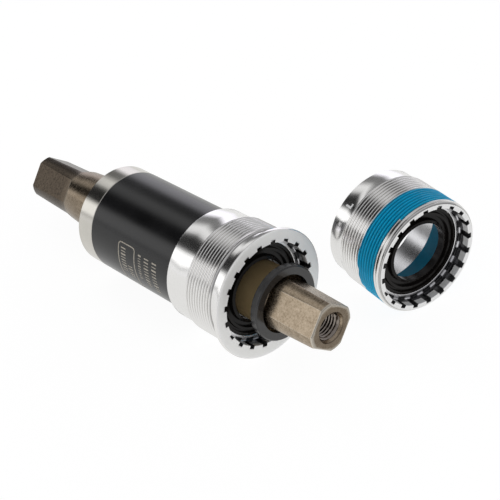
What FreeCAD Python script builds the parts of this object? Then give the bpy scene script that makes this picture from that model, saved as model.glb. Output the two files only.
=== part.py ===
import FreeCAD
import Part
import math
import os

# Square-taper cartridge bottom bracket, millimetres.
# Row frame: the spindle axis is +Y, from the drive side (-Y) to the left side (+Y); +Z is up.
# Origin: centre of the bicycle frame's shell, on the spindle axis.

# --- frame shell the unit is made for (1.37 inch x 24 per inch) ---
SHELL_WIDTH = 68.0
THREAD_MAJOR_D = 34.798
THREAD_DEPTH = 0.65

# --- spindle ---
SPINDLE_LENGTH = 127.5
DRIVE_PROTRUSION = 25.2          # drive end of the spindle beyond the shell face
SPINDLE_D = 17.0                 # bearing seats and the round beside them
SHOULDER_STEP = 1.1              # the middle stands this far above the seats
TAPER_END_ACROSS_FLATS = 12.6
TAPER_ANGLE_DEG = 2.0            # per side
TAPER_LENGTH = 17.8
TAPER_CORNER_CUT_AT_END = 1.05   # rounded corners lie this far below the seats
TAPER_CORNER_CUT_AT_ROOT = 0.65
TAPER_CLOCKING_DEG = 8.0         # where the square's first corner stands, from +X towards +Z
TAPER_RUNOUT_LENGTH = 1.6
TAPER_RUNOUT_RISE = 0.6
END_CHAMFER = 0.45
LEFT_FLARE_LENGTH = 4.5
DRIVE_FLARE_LENGTH = 1.2
BOLT_THREAD_D = 8.0
BOLT_THREAD_DEPTH = 20.0
BOLT_HOLE_POINT = 2.4            # drill point beyond the thread
COUNTERSINK_D = 9.1
COUNTERSINK_HALF_ANGLE_DEG = 30.0

# --- both cups ---
CUP_WALL = 1.149                 # left cup's bore to the root of the thread
SPLINE_COUNT = 20
SPLINE_WALL = 0.649              # bottom of a slot to the root of the thread
SPLINE_TOOTH_HEIGHT = 0.9
SPLINE_SLOT_WIDTH = 1.7
SPLINE_SLOT_DEPTH = 3.5
MOUTH_DEPTH = 3.9
WEB_THICKNESS = 1.2
WEB_REACH = 1.4                  # inwards from the spline teeth
LEAD_CHAMFER = 0.2

# --- drive cup ---
FLANGE_RISE = 1.701              # flange rim above the thread's crests
FLANGE_THICKNESS = 1.2
FLANGE_EDGE = 0.25
NECK_STEP = 0.699                # neck below the thread's crests
NECK_LENGTH = 4.4
DRIVE_THREAD_LENGTH = 9.9
DRIVE_LEAD_LENGTH = 8.2
DRIVE_CLOCKING_DEG = 4.0

# --- cartridge body ---
SLEEVE_WALL = 1.4                # over the bearings
SLEEVE_STOP = 0.6                # shoulder that stops each outer race
SLEEVE_PRESS_STEP = 0.2          # sleeve end turned down for its press fit in the drive cup
END_RING_RECESS = 2.1            # end ring behind the shell's left face
END_RING_WIDTH = 6.6
END_RING_EDGE = 0.25
END_RING_JOINT_EDGE = 0.25
END_RING_SPIGOT_WALL = 0.6
END_RING_LIP = 1.6
END_RING_LIP_REACH = 0.7

# --- the two bearings (same size) ---
BEARING_WIDTH = 7.0
BALL_COUNT = 12
GROOVE_SHARE = 0.2143            # groove depth as a share of the ball
INNER_RACE_SHARE = 0.5143        # inner race's share of the steel above and below the ball gap
RACE_EDGE = 0.3
CAGE_SHARE = 0.45                # cage thickness as a share of the gap between the races
CAGE_RIM = 0.3                   # cage left at each end of its ball pockets
BEARING_SEAL_THICKNESS = 0.6
BEARING_SEAL_INSET = 0.25

# --- black dust covers in the mouths ---
COVER_THICKNESS = 2.4
COVER_RIM_REACH = 0.7            # rim behind the web
COVER_LIP_WIDTH = 0.2
COVER_LIP_RISE = 0.4
# its concentric ridges: share of the way from the rim to the lip, and depth below the front
COVER_RIDGES = (
    (0.0, 0.1), (0.17, 0.1), (0.21, 0.85), (0.31, 0.85), (0.35, 0.2), (0.50, 0.2),
    (0.56, 1.2), (0.76, 1.2), (0.82, 0.0))
COVER_BACK_BEVEL = (0.10, 0.25)  # shares of the same way where the back's bevel starts and ends

# --- black collar on the drive end of the spindle ---
COLLAR_WALL = 2.5
COLLAR_WIDTH = 2.6
COLLAR_STANDOFF = 4.3            # from the flange's front face to the collar
COLLAR_EDGE = 0.35

# --- loose left cup ---
LEFT_CUP_LENGTH = 23.1
LEFT_CUP_BEVEL = 0.75
LEFT_THREAD_END = 17.85          # measured from the front face
LEFT_CUP_CLOCKING_DEG = 1.2
LOCK_BAND_START = 2.6
LOCK_BAND_END = 9.35
LOCK_BAND_THICKNESS = 0.10
INNER_BAND_START = 7.0
INNER_BAND_END = 15.5
INNER_BAND_THICKNESS = 0.10

# --- fits and clearances ---
BALL_CLEARANCE = 0.05            # ball to race groove, all round
CAGE_POCKET_CLEARANCE = 0.15
CAGE_END_CLEARANCE = 0.45        # cage to each bearing seal
SEAL_CLEARANCE = 0.15            # bearing seal to inner race
COVER_CLEARANCE = 0.45           # dust cover lip to spindle
COVER_RELIEF = 0.5               # dust cover back face to bearing seal
CUP_SLIDE_CLEARANCE = 0.20       # left cup bore over the end ring

# --- where the loose left cup lies, beside the main unit ---
LEFT_CUP_GAP = 5.901             # clear of the flange, side to side
LEFT_CUP_AHEAD = 19.5            # its front face ahead of the flange's
LEFT_CUP_YAW_DEG = 8.5

CUT_OVERSHOOT = 1.0              # how far a cutter reaches past the face it opens

# --- diameters worked out from the values above ---
THREAD_ROOT_D = THREAD_MAJOR_D - 2 * THREAD_DEPTH
FLANGE_D = THREAD_MAJOR_D + 2 * FLANGE_RISE
NECK_D = THREAD_MAJOR_D - 2 * NECK_STEP
SPLINE_ROOT_D = THREAD_ROOT_D - 2 * SPLINE_WALL
SPLINE_TIP_D = SPLINE_ROOT_D - 2 * SPLINE_TOOTH_HEIGHT
WEB_BORE_D = SPLINE_TIP_D - 2 * WEB_REACH
LEFT_CUP_BORE_D = THREAD_ROOT_D - 2 * CUP_WALL
CARTRIDGE_D = LEFT_CUP_BORE_D - 2 * CUP_SLIDE_CLEARANCE
DRIVE_SPIGOT_D = CARTRIDGE_D - 2 * SLEEVE_PRESS_STEP
BEARING_D = CARTRIDGE_D - 2 * SLEEVE_WALL
SLEEVE_MIDDLE_BORE_D = BEARING_D - 2 * SLEEVE_STOP
END_RING_SPIGOT_D = BEARING_D + 2 * END_RING_SPIGOT_WALL
END_RING_LIP_BORE_D = BEARING_D - 2 * END_RING_LIP_REACH
COVER_RIM_D = WEB_BORE_D + 2 * COVER_RIM_REACH
SHOULDER_D = SPINDLE_D + 2 * SHOULDER_STEP
TAPER_CORNER_D_AT_END = SPINDLE_D - 2 * TAPER_CORNER_CUT_AT_END
TAPER_CORNER_D_AT_ROOT = SPINDLE_D - 2 * TAPER_CORNER_CUT_AT_ROOT
COLLAR_D = SPINDLE_D + 2 * COLLAR_WALL

# --- inside the bearings: the ball follows the width left between the seals ---
SEAL_DEPTH = BEARING_SEAL_INSET + BEARING_SEAL_THICKNESS
CAGE_WIDTH = BEARING_WIDTH - 2 * (SEAL_DEPTH + CAGE_END_CLEARANCE)
BALL_D = CAGE_WIDTH - 2 * (CAGE_RIM + CAGE_POCKET_CLEARANCE)
GROOVE_DEPTH = GROOVE_SHARE * BALL_D
RACE_GAP = BALL_D - 2 * GROOVE_DEPTH
CAGE_THICKNESS = CAGE_SHARE * RACE_GAP
BEARING_SECTION = (BEARING_D - SPINDLE_D) / 2
INNER_RACE_WALL = INNER_RACE_SHARE * (BEARING_SECTION - RACE_GAP)
OUTER_RACE_WALL = BEARING_SECTION - RACE_GAP - INNER_RACE_WALL
INNER_RACE_LAND_D = SPINDLE_D + 2 * INNER_RACE_WALL
OUTER_RACE_LAND_D = BEARING_D - 2 * OUTER_RACE_WALL
BALL_PITCH_D = (INNER_RACE_LAND_D + OUTER_RACE_LAND_D) / 2

# --- places along the spindle, and other sizes worked out ---
SHELL_HALF = SHELL_WIDTH / 2
SEAT_Y = -SHELL_HALF
FLANGE_FRONT_Y = SEAT_Y - FLANGE_THICKNESS
DRIVE_THREAD_START = SEAT_Y + NECK_LENGTH
DRIVE_THREAD_END = DRIVE_THREAD_START + DRIVE_THREAD_LENGTH
DRIVE_CUP_END = DRIVE_THREAD_END + DRIVE_LEAD_LENGTH
SPINDLE_DRIVE_END = SEAT_Y - DRIVE_PROTRUSION
SPINDLE_LEFT_END = SPINDLE_DRIVE_END + SPINDLE_LENGTH
DRIVE_BEARING_Y = FLANGE_FRONT_Y + MOUTH_DEPTH + COVER_THICKNESS
END_RING_END = SHELL_HALF - END_RING_RECESS
SLEEVE_LEFT_END = END_RING_END - END_RING_WIDTH
LEFT_BEARING_Y = END_RING_END - END_RING_LIP - BEARING_WIDTH
COLLAR_Y = FLANGE_FRONT_Y - COLLAR_STANDOFF - COLLAR_WIDTH
LEFT_CUP_X = (FLANGE_D + THREAD_MAJOR_D) / 2 + LEFT_CUP_GAP
LEFT_CUP_Y = FLANGE_FRONT_Y - LEFT_CUP_AHEAD
REST_TILT = math.atan((FLANGE_D - CARTRIDGE_D) / 2 / (END_RING_END - FLANGE_FRONT_Y))


def turned(points):
    """Solid of revolution about the Y axis from (radius, y) corner points."""
    corners = [FreeCAD.Vector(radius, y, 0) for radius, y in points]
    outline = Part.makePolygon(corners + [corners[0]])
    return Part.Face(outline).revolve(FreeCAD.Vector(0, 0, 0), FreeCAD.Vector(0, 1, 0), 360)


def ring(outer_d, inner_d, start, end, edge=0.0):
    """Plain ring along Y with equal chamfers on its two outer edges."""
    outer = outer_d / 2
    inner = inner_d / 2
    if edge == 0.0:
        return turned([(inner, start), (outer, start), (outer, end), (inner, end)])
    return turned([
        (inner, start), (outer - edge, start), (outer, start + edge),
        (outer, end - edge), (outer - edge, end), (inner, end)])


def around_y(shape, angle_deg):
    """Copy of a shape turned about the Y axis, from +X towards +Z."""
    copy = shape.copy()
    copy.rotate(FreeCAD.Vector(0, 0, 0), FreeCAD.Vector(0, 1, 0), -angle_deg)
    return copy


def spline_slots(front_y, clocking_deg):
    """The slots of the tool spline, cut from the mouth inwards."""
    inner = SPLINE_TIP_D / 2 - CUT_OVERSHOOT
    slot = Part.makeBox(
        SPLINE_ROOT_D / 2 - inner, SPLINE_SLOT_DEPTH + CUT_OVERSHOOT, SPLINE_SLOT_WIDTH,
        FreeCAD.Vector(inner, front_y - CUT_OVERSHOOT, -SPLINE_SLOT_WIDTH / 2))
    pitch = 360.0 / SPLINE_COUNT
    return [around_y(slot, clocking_deg + pitch * index) for index in range(SPLINE_COUNT)]


def taper_tool(end_y, inward):
    """Ring-shaped cutter that leaves the square taper; inward is +1 or -1 along Y."""
    half_end = TAPER_END_ACROSS_FLATS / 2
    slope = math.tan(math.radians(TAPER_ANGLE_DEG))
    half_root = half_end + TAPER_LENGTH * slope
    half_out = SPINDLE_D / 2 + TAPER_RUNOUT_RISE
    stations = [
        (end_y - inward * CUT_OVERSHOOT, half_end - CUT_OVERSHOOT * slope),
        (end_y + inward * TAPER_LENGTH, half_root),
        (end_y + inward * (TAPER_LENGTH + TAPER_RUNOUT_LENGTH), half_out)]
    wires = []
    for y, half in stations:
        corners = [
            FreeCAD.Vector(half, y, half), FreeCAD.Vector(-half, y, half),
            FreeCAD.Vector(-half, y, -half), FreeCAD.Vector(half, y, -half)]
        wires.append(Part.makePolygon(corners + [corners[0]]))
    core = Part.makeLoft(wires, True, True)
    core = around_y(core, TAPER_CLOCKING_DEG + 45)
    low = min(stations[0][0], stations[2][0])
    high = max(stations[0][0], stations[2][0])
    blank = ring(SPINDLE_D + 2 * CUT_OVERSHOOT, 0.0, low, high)
    return blank.cut(core)


def bolt_hole(end_y, inward):
    """Crank-bolt hole with its countersink, opening at one end of the spindle."""
    radius = BOLT_THREAD_D / 2
    sink = COUNTERSINK_D / 2
    sink_depth = (sink - radius) / math.tan(math.radians(COUNTERSINK_HALF_ANGLE_DEG))
    outside = end_y - inward * CUT_OVERSHOOT
    return turned([
        (0, outside), (sink, outside), (sink, end_y),
        (radius, end_y + inward * sink_depth), (radius, end_y + inward * BOLT_THREAD_DEPTH),
        (0, end_y + inward * (BOLT_THREAD_DEPTH + BOLT_HOLE_POINT))])


def spindle():
    """Forged steel spindle: two bearing seats, a thicker middle and two square tapers."""
    seat = SPINDLE_D / 2
    middle = SHOULDER_D / 2
    tip = TAPER_CORNER_D_AT_END / 2
    root = TAPER_CORNER_D_AT_ROOT / 2
    drive_root = SPINDLE_DRIVE_END + TAPER_LENGTH
    left_root = SPINDLE_LEFT_END - TAPER_LENGTH
    shaft = turned([
        (0, SPINDLE_DRIVE_END),
        (tip - END_CHAMFER, SPINDLE_DRIVE_END), (tip, SPINDLE_DRIVE_END + END_CHAMFER),
        (root, drive_root), (seat, drive_root + DRIVE_FLARE_LENGTH),
        (seat, DRIVE_BEARING_Y + BEARING_WIDTH), (middle, DRIVE_BEARING_Y + BEARING_WIDTH),
        (middle, LEFT_BEARING_Y), (seat, LEFT_BEARING_Y),
        (seat, left_root - LEFT_FLARE_LENGTH), (root, left_root),
        (tip, SPINDLE_LEFT_END - END_CHAMFER), (tip - END_CHAMFER, SPINDLE_LEFT_END),
        (0, SPINDLE_LEFT_END)])
    shaft = shaft.cut(taper_tool(SPINDLE_DRIVE_END, 1))
    shaft = shaft.cut(taper_tool(SPINDLE_LEFT_END, -1))
    shaft = shaft.cut(bolt_hole(SPINDLE_DRIVE_END, 1))
    shaft = shaft.cut(bolt_hole(SPINDLE_LEFT_END, -1))
    return shaft


def spindle_collar():
    """Black plastic collar pushed onto the round of the spindle outside the drive cup."""
    return ring(COLLAR_D, SPINDLE_D, COLLAR_Y, COLLAR_Y + COLLAR_WIDTH, COLLAR_EDGE)


def drive_cup():
    """Fixed right-hand cup: flange, plain neck, thread at crest diameter, plain lead."""
    tooth = SPLINE_TIP_D / 2
    web = WEB_BORE_D / 2
    bore = DRIVE_SPIGOT_D / 2
    flange = FLANGE_D / 2
    neck = NECK_D / 2
    crest = THREAD_MAJOR_D / 2
    lead = THREAD_ROOT_D / 2
    web_y = FLANGE_FRONT_Y + MOUTH_DEPTH
    blank = turned([
        (tooth, FLANGE_FRONT_Y), (flange - FLANGE_EDGE, FLANGE_FRONT_Y),
        (flange, FLANGE_FRONT_Y + FLANGE_EDGE), (flange, SEAT_Y),
        (neck, SEAT_Y), (neck, DRIVE_THREAD_START - (crest - neck)),
        (crest, DRIVE_THREAD_START), (crest, DRIVE_THREAD_END - THREAD_DEPTH),
        (lead, DRIVE_THREAD_END), (lead, DRIVE_CUP_END - LEAD_CHAMFER),
        (lead - LEAD_CHAMFER, DRIVE_CUP_END), (bore, DRIVE_CUP_END),
        (bore, web_y + WEB_THICKNESS), (web, web_y + WEB_THICKNESS),
        (web, web_y), (tooth, web_y)])
    return blank.cut(spline_slots(FLANGE_FRONT_Y, DRIVE_CLOCKING_DEG))


def dust_cover(front_y):
    """Black plastic dust cover with concentric ridges and a raised lip round the spindle."""
    web = WEB_BORE_D / 2
    rim = COVER_RIM_D / 2
    lip = SPINDLE_D / 2 + COVER_CLEARANCE
    span = web - lip
    step = front_y + WEB_THICKNESS
    back = front_y + COVER_THICKNESS
    bevel_start, bevel_end = COVER_BACK_BEVEL
    ridges = [(web - share * span, front_y + depth) for share, depth in COVER_RIDGES]
    return turned(ridges + [
        (lip + COVER_LIP_WIDTH, front_y - COVER_LIP_RISE), (lip, front_y - COVER_LIP_RISE / 2),
        (lip, back - COVER_RELIEF), (web - bevel_end * span, back - COVER_RELIEF),
        (web - bevel_start * span, back), (rim, back), (rim, step), (web, step)])


def cartridge_sleeve():
    """Black steel tube joining the two bearings; a thicker middle stops both outer races."""
    outer = CARTRIDGE_D / 2
    pressed = DRIVE_SPIGOT_D / 2
    seat = BEARING_D / 2
    middle = SLEEVE_MIDDLE_BORE_D / 2
    spigot = END_RING_SPIGOT_D / 2
    return turned([
        (seat, DRIVE_BEARING_Y), (pressed, DRIVE_BEARING_Y), (pressed, DRIVE_CUP_END),
        (outer, DRIVE_CUP_END), (outer, SLEEVE_LEFT_END),
        (spigot, SLEEVE_LEFT_END), (spigot, LEFT_BEARING_Y), (middle, LEFT_BEARING_Y),
        (middle, DRIVE_BEARING_Y + BEARING_WIDTH), (seat, DRIVE_BEARING_Y + BEARING_WIDTH)])


def left_end_ring():
    """Polished steel ring that closes the sleeve and holds the left bearing."""
    outer = CARTRIDGE_D / 2
    seat = BEARING_D / 2
    spigot = END_RING_SPIGOT_D / 2
    lip = END_RING_LIP_BORE_D / 2
    return turned([
        (seat, LEFT_BEARING_Y), (spigot, LEFT_BEARING_Y), (spigot, SLEEVE_LEFT_END),
        (outer - END_RING_JOINT_EDGE, SLEEVE_LEFT_END),
        (outer, SLEEVE_LEFT_END + END_RING_JOINT_EDGE),
        (outer, END_RING_END - END_RING_EDGE), (outer - END_RING_EDGE, END_RING_END),
        (lip, END_RING_END), (lip, END_RING_END - END_RING_LIP),
        (seat, END_RING_END - END_RING_LIP)])


def ball_groove(centre_y):
    """Torus that cuts the ball track into a race."""
    return Part.makeTorus(
        BALL_PITCH_D / 2, BALL_D / 2 + BALL_CLEARANCE,
        FreeCAD.Vector(0, centre_y, 0), FreeCAD.Vector(0, 1, 0))


def outer_race(start_y):
    """Outer race pressed into the cartridge body."""
    blank = ring(BEARING_D, OUTER_RACE_LAND_D, start_y, start_y + BEARING_WIDTH, RACE_EDGE)
    return blank.cut(ball_groove(start_y + BEARING_WIDTH / 2))


def inner_race(start_y):
    """Inner race pressed onto the spindle."""
    blank = ring(INNER_RACE_LAND_D, SPINDLE_D, start_y, start_y + BEARING_WIDTH, RACE_EDGE / 2)
    return blank.cut(ball_groove(start_y + BEARING_WIDTH / 2))


def ball_centres(start_y):
    """Ball centres of one bearing."""
    centres = []
    for index in range(BALL_COUNT):
        angle = 2 * math.pi * index / BALL_COUNT
        radius = BALL_PITCH_D / 2
        middle = start_y + BEARING_WIDTH / 2
        centres.append(FreeCAD.Vector(radius * math.cos(angle), middle, radius * math.sin(angle)))
    return centres


def balls(start_y):
    """All balls of one bearing, as separate solids."""
    return Part.makeCompound([
        Part.makeSphere(BALL_D / 2, centre) for centre in ball_centres(start_y)])


def cage(start_y):
    """Ball cage: a thin ring with one round pocket per ball."""
    low = start_y + (BEARING_WIDTH - CAGE_WIDTH) / 2
    outer = BALL_PITCH_D + CAGE_THICKNESS
    inner = BALL_PITCH_D - CAGE_THICKNESS
    blank = ring(outer, inner, low, low + CAGE_WIDTH)
    pocket = BALL_D / 2 + CAGE_POCKET_CLEARANCE
    reach = BALL_D / 2
    cutters = []
    for centre in ball_centres(start_y):
        outward = FreeCAD.Vector(centre.x, 0, centre.z)
        outward.normalize()
        cutters.append(Part.makeCylinder(pocket, 2 * reach, centre - outward * reach, outward))
    return blank.cut(cutters)


def bearing_seal(start_y, side):
    """Rubber bearing seal on one side, +1 or -1 along Y, just clear of the inner race."""
    middle = start_y + BEARING_WIDTH / 2
    near = middle + side * (BEARING_WIDTH / 2 - SEAL_DEPTH)
    far = near + side * BEARING_SEAL_THICKNESS
    inner = INNER_RACE_LAND_D + 2 * SEAL_CLEARANCE
    return ring(OUTER_RACE_LAND_D, inner, min(near, far), max(near, far))


def left_cup():
    """Loose left-hand cup along +Y, its splined front face at y = 0."""
    tooth = SPLINE_TIP_D / 2
    web = WEB_BORE_D / 2
    bore = LEFT_CUP_BORE_D / 2
    crest = THREAD_MAJOR_D / 2
    lead = THREAD_ROOT_D / 2
    coated = crest - LOCK_BAND_THICKNESS
    blank = turned([
        (tooth, 0), (crest - LEFT_CUP_BEVEL, 0), (crest, LEFT_CUP_BEVEL),
        (crest, LOCK_BAND_START), (coated, LOCK_BAND_START),
        (coated, LOCK_BAND_END), (crest, LOCK_BAND_END),
        (crest, LEFT_THREAD_END - THREAD_DEPTH), (lead, LEFT_THREAD_END),
        (lead, LEFT_CUP_LENGTH - LEAD_CHAMFER), (lead - LEAD_CHAMFER, LEFT_CUP_LENGTH),
        (bore, LEFT_CUP_LENGTH), (bore, MOUTH_DEPTH + WEB_THICKNESS),
        (web, MOUTH_DEPTH + WEB_THICKNESS), (web, MOUTH_DEPTH), (tooth, MOUTH_DEPTH)])
    return blank.cut(spline_slots(0, LEFT_CUP_CLOCKING_DEG))


def lock_band():
    """Coat of dry thread lock on the left cup, level with the crests of its thread."""
    inner = THREAD_MAJOR_D - 2 * LOCK_BAND_THICKNESS
    return ring(THREAD_MAJOR_D, inner, LOCK_BAND_START, LOCK_BAND_END)


def inner_band():
    """Coat of the same compound inside the left cup's bore."""
    inner = LEFT_CUP_BORE_D - 2 * INNER_BAND_THICKNESS
    return ring(LEFT_CUP_BORE_D, inner, INNER_BAND_START, INNER_BAND_END)


def laid_beside(shape):
    """Place a left-cup shape on the plane that touches the flange rim and the end ring."""
    yaw = math.radians(LEFT_CUP_YAW_DEG)
    pitch = math.atan(math.tan(REST_TILT) * math.cos(yaw))
    rise = THREAD_MAJOR_D / 2
    along = math.sin(REST_TILT) * (LEFT_CUP_Y - FLANGE_FRONT_Y)
    height = (rise + along) / math.cos(REST_TILT) - FLANGE_D / 2
    origin = FreeCAD.Vector(0, 0, 0)
    shape.rotate(origin, FreeCAD.Vector(1, 0, 0), math.degrees(pitch))
    shape.rotate(origin, FreeCAD.Vector(0, 0, 1), -LEFT_CUP_YAW_DEG)
    shape.translate(FreeCAD.Vector(LEFT_CUP_X, LEFT_CUP_Y, height))
    return shape


def all_parts():
    """Every sub-part by name."""
    parts = {
        "spindle": spindle(),
        "spindle_collar": spindle_collar(),
        "drive_cup": drive_cup(),
        "drive_dust_cover": dust_cover(FLANGE_FRONT_Y + MOUTH_DEPTH),
        "cartridge_sleeve": cartridge_sleeve(),
        "left_end_ring": left_end_ring(),
        "left_cup": laid_beside(left_cup()),
        "left_dust_cover": laid_beside(dust_cover(MOUTH_DEPTH)),
        "left_thread_lock_band": laid_beside(lock_band()),
        "left_inner_band": laid_beside(inner_band()),
    }
    bearings = (("drive", DRIVE_BEARING_Y, -1), ("left", LEFT_BEARING_Y, 1))
    for side, start, outward in bearings:
        parts[side + "_outer_race"] = outer_race(start)
        parts[side + "_inner_race"] = inner_race(start)
        parts[side + "_balls"] = balls(start)
        parts[side + "_cage"] = cage(start)
        parts[side + "_outboard_seal"] = bearing_seal(start, outward)
        parts[side + "_inboard_seal"] = bearing_seal(start, -outward)
    return parts


os.makedirs("parts", exist_ok=True)
for name, shape in all_parts().items():
    shape.exportStep("parts/" + name + ".step")
    box = shape.BoundBox
    print("%-24s solids %3d valid %s  y %7.2f %7.2f" % (
        name, len(shape.Solids), shape.isValid(), box.YMin, box.YMax))
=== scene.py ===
import math

import bpy
import numpy as np
from mathutils import Matrix, Vector


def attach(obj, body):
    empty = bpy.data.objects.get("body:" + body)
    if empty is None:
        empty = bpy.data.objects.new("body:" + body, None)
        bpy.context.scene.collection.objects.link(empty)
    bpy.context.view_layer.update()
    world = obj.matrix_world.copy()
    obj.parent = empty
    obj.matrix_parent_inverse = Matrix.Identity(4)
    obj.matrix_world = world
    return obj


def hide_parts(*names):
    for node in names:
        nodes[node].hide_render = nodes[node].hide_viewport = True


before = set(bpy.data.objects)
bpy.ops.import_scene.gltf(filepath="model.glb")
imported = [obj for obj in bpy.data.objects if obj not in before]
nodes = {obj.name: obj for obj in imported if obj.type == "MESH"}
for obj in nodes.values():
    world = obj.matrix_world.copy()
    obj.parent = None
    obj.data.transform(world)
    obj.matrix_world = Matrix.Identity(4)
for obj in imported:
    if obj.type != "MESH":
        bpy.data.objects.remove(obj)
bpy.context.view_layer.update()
MM = 0.001

# ---------------------------------------------------------------------------
# Camera: stands to the drive side's left, a little above, and looks down the
# spindle at the flanged cup with the loose cup beside it.
# ---------------------------------------------------------------------------
camera = bpy.data.objects.new("camera", bpy.data.cameras.new("camera"))
bpy.context.scene.collection.objects.link(camera)
bpy.context.scene.camera = camera
camera.data.sensor_width = 36.0
camera.data.lens = 97.9
camera.data.clip_start = 0.02
camera.data.clip_end = 20.0
sight = Vector((0.51288, 0.65920, -0.54991))
over = Vector((0.73400, -0.66894, -0.11732))
upright = Vector((0.44519, 0.34347, 0.82694))
turn = Matrix((over, upright, -sight)).transposed().to_4x4()
camera.matrix_world = Matrix.Translation(Vector((-188.36, -271.72, 214.29)) * MM) @ turn

# ---------------------------------------------------------------------------
# Drive cup: the fixed right-hand cup, turned from one bar of aluminium. A thin
# flange stops it against the frame, its left-hand thread is cut behind a plain
# neck, and 20 slots are broached round its mouth for the cup tool. The cartridge
# is pressed into its plain lead.
# ---------------------------------------------------------------------------
PITCH = 25.4 / 24
CREST = 17.399
ROOT = 16.749
TOOTH_R, SLOT_R, SLOT_WIDTH, TEETH = 15.2, 16.1, 1.7, 20
FLANGE_Y = -35.2


def node(tree, kind, sockets=None, **settings):
    """One shader node, with its switches and its sockets' values or links."""
    made = tree.nodes.new(kind)
    for key, value in settings.items():
        setattr(made, key, value)
    for key, value in (sockets or {}).items():
        if isinstance(value, bpy.types.NodeSocket):
            tree.links.new(value, made.inputs[key])
        else:
            made.inputs[key].default_value = value
    return made


def effect(name, numbers, results):
    """An empty shader node group with a Vector input, number inputs and number outputs."""
    group = bpy.data.node_groups.new(name, "ShaderNodeTree")
    group.interface.new_socket("Vector", in_out="INPUT", socket_type="NodeSocketVector")
    for label, value in numbers.items():
        socket = group.interface.new_socket(label, in_out="INPUT", socket_type="NodeSocketFloat")
        socket.default_value = value
    for label in results:
        group.interface.new_socket(label, in_out="OUTPUT", socket_type="NodeSocketFloat")
    return group, group.nodes.new("NodeGroupInput"), group.nodes.new("NodeGroupOutput")


# Lathe marks: fine rings round the Y axis. The ring number is (y + distance from
# the axis) times rings per metre, fed to one-dimensional noise.
lathe_marks, given, result = effect("lathe_marks", {"Rings": 3000.0}, ["Marks"])
split = node(lathe_marks, "ShaderNodeSeparateXYZ", {0: given.outputs["Vector"]})
flat = node(lathe_marks, "ShaderNodeCombineXYZ", {"X": split.outputs["X"], "Y": split.outputs["Z"]})
away = node(lathe_marks, "ShaderNodeVectorMath", {0: flat.outputs[0]}, operation="LENGTH")
reach = node(lathe_marks, "ShaderNodeMath", {0: split.outputs["Y"], 1: away.outputs["Value"]})
count = node(lathe_marks, "ShaderNodeMath", {0: reach.outputs[0], 1: given.outputs["Rings"]},
             operation="MULTIPLY")
rings = node(lathe_marks, "ShaderNodeTexNoise", {"W": count.outputs[0], "Detail": 3.0},
             noise_dimensions="1D")
lathe_marks.links.new(rings.outputs["Fac"], result.inputs["Marks"])

# Grain: fine speckle, with a slower drift across the piece beside it.
grain_effect, given, result = effect("grain", {"Fine": 4000.0, "Slow": 120.0}, ["Grain", "Drift"])
fine = node(grain_effect, "ShaderNodeTexNoise",
            {"Vector": given.outputs["Vector"], "Scale": given.outputs["Fine"], "Detail": 4.0})
slow = node(grain_effect, "ShaderNodeTexNoise",
            {"Vector": given.outputs["Vector"], "Scale": given.outputs["Slow"], "Detail": 2.0})
grain_effect.links.new(fine.outputs["Fac"], result.inputs["Grain"])
grain_effect.links.new(slow.outputs["Fac"], result.inputs["Drift"])


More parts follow.
